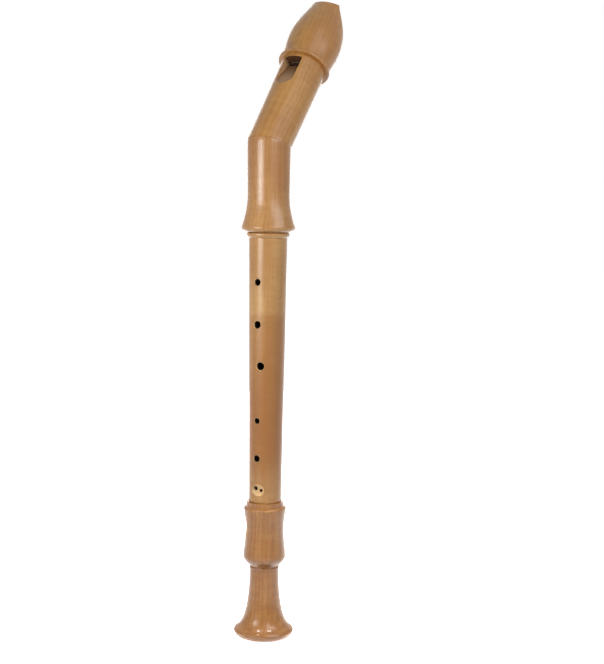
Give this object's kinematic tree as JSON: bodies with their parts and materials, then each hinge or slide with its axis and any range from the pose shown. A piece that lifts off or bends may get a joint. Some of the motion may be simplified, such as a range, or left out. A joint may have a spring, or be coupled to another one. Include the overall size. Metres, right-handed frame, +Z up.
{
  "type": "tenor recorder",
  "caption": "Keyless bent-neck tenor recorder in stained pearwood: beaked head with window and labium, mitred neck, tapered body tube with finger holes, turning foot with a flared bell.",
  "frame": {"origin": "on the bore axis at the bell's flat rim, where a stand's peg enters", "axes": "+Z up the bore from the foot to the bend, -Y the side of the finger holes and the window, +Y the side that the head leans to and the thumb hole faces"},
  "size_m": [0.061, 0.1352, 0.6467],
  "materials": {
    "pearwood": "stained and oiled, satin",
    "cedar": "bare end grain and flat-sawn cedar",
    "cork": "greased sheet cork"
  },
  "bodies": {
    "foot": {"foot_joint": "pearwood"},
    "body": {"middle_joint": "pearwood", "upper_tenon_cork": "cork", "lower_tenon_cork": "cork"},
    "head": {"neck_joint": "pearwood", "head_joint": "pearwood"},
    "block": {"block": "cedar"}
  },
  "joints": [
    {"name": "foot_turn", "type": "hinge", "parent": "foot", "child": "body", "pos_m": [0, 0, 0.14], "axis": [0, 0, 1], "continuous": true},
    {"name": "head_pull", "type": "slide", "parent": "body", "child": "head", "axis": [0, 0, 1], "range_m": [0, 0.036]},
    {"name": "block_slide", "type": "slide", "parent": "head", "child": "block", "axis": [0, 0.6157, 0.788], "range_m": [0, 0.08]}
  ]
}
